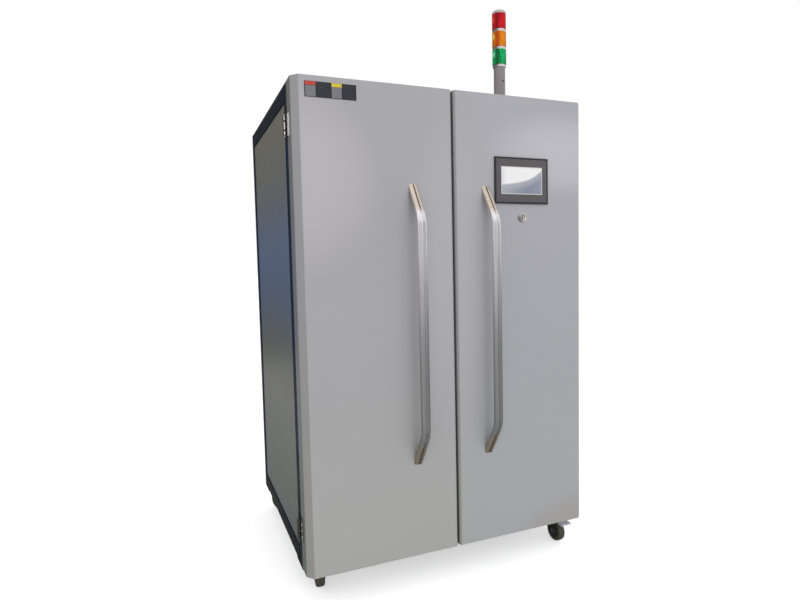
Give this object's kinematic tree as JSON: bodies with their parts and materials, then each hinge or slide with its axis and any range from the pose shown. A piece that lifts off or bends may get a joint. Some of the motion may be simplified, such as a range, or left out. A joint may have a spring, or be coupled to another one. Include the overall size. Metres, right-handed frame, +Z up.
{
  "type": "frit melting furnace",
  "caption": "Two-door steel cabinet furnace on swivel casters, with an insulated melting chamber, bottom-drain crucible, quench tank, touch panel and signal tower.",
  "frame": {"origin": "on the floor under the middle of the furnace's bounding box, midway between its sides and midway between the front of the handles and the end of the rear cable gland", "axes": "+Z up, -Y out of the doors toward the user, +X to the user's right when facing the doors"},
  "size_m": [1.0066, 0.8968, 1.9295],
  "materials": {
    "breaker_lever": "moulded white",
    "cable_gland": "moulded black",
    "crucible": "fired clay",
    "discharge_tube": "fired clay",
    "divider_wall": "bare sheet steel",
    "door_insulation": "ceramic-fibre board",
    "drip_tray": "bare sheet steel",
    "fan_housing": "moulded black",
    "fan_rotor": "moulded black",
    "floor_plate": "satin navy powder coat",
    "front_frame": "satin navy powder coat",
    "front_left_caster_brake_pedal": "zinc-plated steel",
    "front_left_caster_fork": "zinc-plated steel",
    "front_left_caster_wheel": "black tread",
    "front_right_caster_brake_pedal": "zinc-plated steel",
    "front_right_caster_fork": "zinc-plated steel",
    "front_right_caster_wheel": "black tread",
    "furnace_casing": "bare sheet steel",
    "furnace_lining": "ceramic-fibre board",
    "key_switch_body": "polished",
    "key_switch_core": "polished",
    "left_door": "light grey powder coat with a fine texture",
    "left_door_handle": "brushed anodised extrusion",
    "left_element_bank": "dark molybdenum disilicide",
    "left_lower_hinge_door_leaf": "polished",
    "left_lower_hinge_frame_leaf": "polished",
    "left_side_frame": "satin navy powder coat",
    "left_side_panel": "glossy mid-grey powder coat",
    "left_upper_hinge_door_leaf": "polished",
    "left_upper_hinge_frame_leaf": "polished",
    "main_breaker": "moulded black",
    "mounting_plate": "zinc-plated steel",
    "power_controller": "brushed anodised extrusion",
    "quench_tank": "stainless sheet",
    "rating_plate": "dark grey",
    "rear_frame": "satin navy powder coat",
    "rear_left_caster_fork": "zinc-plated steel",
    "rear_left_caster_wheel": "black tread",
    "rear_panel": "glossy mid-grey powder coat",
    "rear_right_caster_fork": "zinc-plated steel",
    "rear_right_caster_wheel": "black tread",
    "right_door": "light grey powder coat with a fine texture",
    "right_door_handle": "brushed anodised extrusion",
    "right_element_bank": "dark molybdenum disilicide",
    "right_lower_hinge_door_leaf": "polished",
    "right_lower_hinge_frame_leaf": "polished",
    "right_side_frame": "satin navy powder coat",
    "right_side_panel": "glossy mid-grey powder coat",
    "right_upper_hinge_door_leaf": "polished",
    "right_upper_hinge_frame_leaf": "polished",
    "thermocouple": "zinc-plated steel",
    "top_panel": "satin navy powder coat",
    "touch_panel_housing": "moulded black",
    "touch_panel_screen": "flat glass front, opaque behind",
    "tower_amber_lens": "tinted clear lens",
    "tower_cap": "moulded white",
    "tower_green_lens": "tinted clear lens",
    "tower_red_lens": "tinted clear lens",
    "tower_tube": "silver-grey tube",
    "transformer": "dark grey"
  },
  "bodies": {
    "cabinet": {"cable_gland": "cable_gland", "crucible": "crucible", "discharge_tube": "discharge_tube", "divider_wall": "divider_wall", "drip_tray": "drip_tray", "fan_housing": "fan_housing", "floor_plate": "floor_plate", "front_frame": "front_frame", "furnace_casing": "furnace_casing", "furnace_lining": "furnace_lining", "left_element_bank": "left_element_bank", "left_lower_hinge_frame_leaf": "left_lower_hinge_frame_leaf", "left_side_frame": "left_side_frame", "left_side_panel": "left_side_panel", "left_upper_hinge_frame_leaf": "left_upper_hinge_frame_leaf", "main_breaker": "main_breaker", "mounting_plate": "mounting_plate", "power_controller": "power_controller", "quench_tank": "quench_tank", "rear_frame": "rear_frame", "rear_panel": "rear_panel", "right_element_bank": "right_element_bank", "right_lower_hinge_frame_leaf": "right_lower_hinge_frame_leaf", "right_side_frame": "right_side_frame", "right_side_panel": "right_side_panel", "right_upper_hinge_frame_leaf": "right_upper_hinge_frame_leaf", "thermocouple": "thermocouple", "top_panel": "top_panel", "tower_amber_lens": "tower_amber_lens", "tower_cap": "tower_cap", "tower_green_lens": "tower_green_lens", "tower_red_lens": "tower_red_lens", "tower_tube": "tower_tube", "transformer": "transformer"},
    "left_door_assembly": {"left_door": "left_door", "left_door_handle": "left_door_handle", "left_upper_hinge_door_leaf": "left_upper_hinge_door_leaf", "left_lower_hinge_door_leaf": "left_lower_hinge_door_leaf", "rating_plate": "rating_plate", "door_insulation": "door_insulation"},
    "right_door_assembly": {"right_door": "right_door", "right_door_handle": "right_door_handle", "right_upper_hinge_door_leaf": "right_upper_hinge_door_leaf", "right_lower_hinge_door_leaf": "right_lower_hinge_door_leaf", "touch_panel_housing": "touch_panel_housing", "touch_panel_screen": "touch_panel_screen", "key_switch_body": "key_switch_body"},
    "key_core": {"key_switch_core": "key_switch_core"},
    "breaker_lever": {"breaker_lever": "breaker_lever"},
    "fan_rotor": {"fan_rotor": "fan_rotor"},
    "front_left_caster_swivel": {"front_left_caster_fork": "front_left_caster_fork"},
    "front_left_caster_wheel": {"front_left_caster_wheel": "front_left_caster_wheel"},
    "front_right_caster_swivel": {"front_right_caster_fork": "front_right_caster_fork"},
    "front_right_caster_wheel": {"front_right_caster_wheel": "front_right_caster_wheel"},
    "rear_left_caster_swivel": {"rear_left_caster_fork": "rear_left_caster_fork"},
    "rear_left_caster_wheel": {"rear_left_caster_wheel": "rear_left_caster_wheel"},
    "rear_right_caster_swivel": {"rear_right_caster_fork": "rear_right_caster_fork"},
    "rear_right_caster_wheel": {"rear_right_caster_wheel": "rear_right_caster_wheel"},
    "front_left_brake_pedal": {"front_left_caster_brake_pedal": "front_left_caster_brake_pedal"},
    "front_right_brake_pedal": {"front_right_caster_brake_pedal": "front_right_caster_brake_pedal"}
  },
  "joints": [
    {"name": "left_door_swing", "type": "hinge", "parent": "cabinet", "child": "left_door_assembly", "pos_m": [-0.4973, -0.30915, 0.817], "axis": [0, 0, -1], "range_deg": [0, 165]},
    {"name": "right_door_swing", "type": "hinge", "parent": "cabinet", "child": "right_door_assembly", "pos_m": [0.4973, -0.30915, 0.817], "axis": [0, 0, 1], "range_deg": [0, 165]},
    {"name": "key_switch_turn", "type": "hinge", "parent": "right_door_assembly", "child": "key_core", "pos_m": [0.246, -0.38015, 1.148], "axis": [0, 1, 0], "range_deg": [0, 90]},
    {"name": "breaker_throw", "type": "hinge", "parent": "cabinet", "child": "breaker_lever", "pos_m": [0.1405, 0.23055, 0.997], "axis": [-1, 0, 0], "range_deg": [0, 50]},
    {"name": "fan_spin", "type": "hinge", "parent": "cabinet", "child": "fan_rotor", "pos_m": [0.24, 0.41185, 1.352], "axis": [0, 1, 0], "continuous": true},
    {"name": "front_left_caster_turn", "type": "hinge", "parent": "cabinet", "child": "front_left_caster_swivel", "pos_m": [-0.429, -0.27415, 0.0967], "axis": [0, 0, 1], "continuous": true},
    {"name": "front_left_wheel_roll", "type": "hinge", "parent": "front_left_caster_swivel", "child": "front_left_caster_wheel", "pos_m": [-0.42677, -0.24223, 0.03569], "axis": [-0.9976, 0.0698, 0], "continuous": true},
    {"name": "front_right_caster_turn", "type": "hinge", "parent": "cabinet", "child": "front_right_caster_swivel", "pos_m": [0.429, -0.27415, 0.0967], "axis": [0, 0, 1], "continuous": true},
    {"name": "front_right_wheel_roll", "type": "hinge", "parent": "front_right_caster_swivel", "child": "front_right_caster_wheel", "pos_m": [0.43012, -0.30613, 0.03569], "axis": [0.9994, 0.0349, 0], "continuous": true},
    {"name": "rear_left_caster_turn", "type": "hinge", "parent": "cabinet", "child": "rear_left_caster_swivel", "pos_m": [-0.429, 0.35985, 0.0967], "axis": [0, 0, 1], "continuous": true},
    {"name": "rear_left_wheel_roll", "type": "hinge", "parent": "rear_left_caster_swivel", "child": "rear_left_caster_wheel", "pos_m": [-0.44353, 0.38836, 0.03569], "axis": [-0.891, -0.454, 0], "continuous": true},
    {"name": "rear_right_caster_turn", "type": "hinge", "parent": "cabinet", "child": "rear_right_caster_swivel", "pos_m": [0.429, 0.35985, 0.0967], "axis": [0, 0, 1], "continuous": true},
    {"name": "rear_right_wheel_roll", "type": "hinge", "parent": "rear_right_caster_swivel", "child": "rear_right_caster_wheel", "pos_m": [0.43728, 0.39076, 0.03569], "axis": [-0.9659, 0.2588, 0], "continuous": true},
    {"name": "front_left_brake_press", "type": "hinge", "parent": "front_left_caster_swivel", "child": "front_left_brake_pedal", "pos_m": [-0.42621, -0.23425, 0.08185], "axis": [-0.9976, 0.0698, 0], "range_deg": [0, 12]},
    {"name": "front_right_brake_press", "type": "hinge", "parent": "front_right_caster_swivel", "child": "front_right_brake_pedal", "pos_m": [0.4304, -0.31413, 0.08185], "axis": [0.9994, 0.0349, 0], "range_deg": [0, 12]}
  ]
}
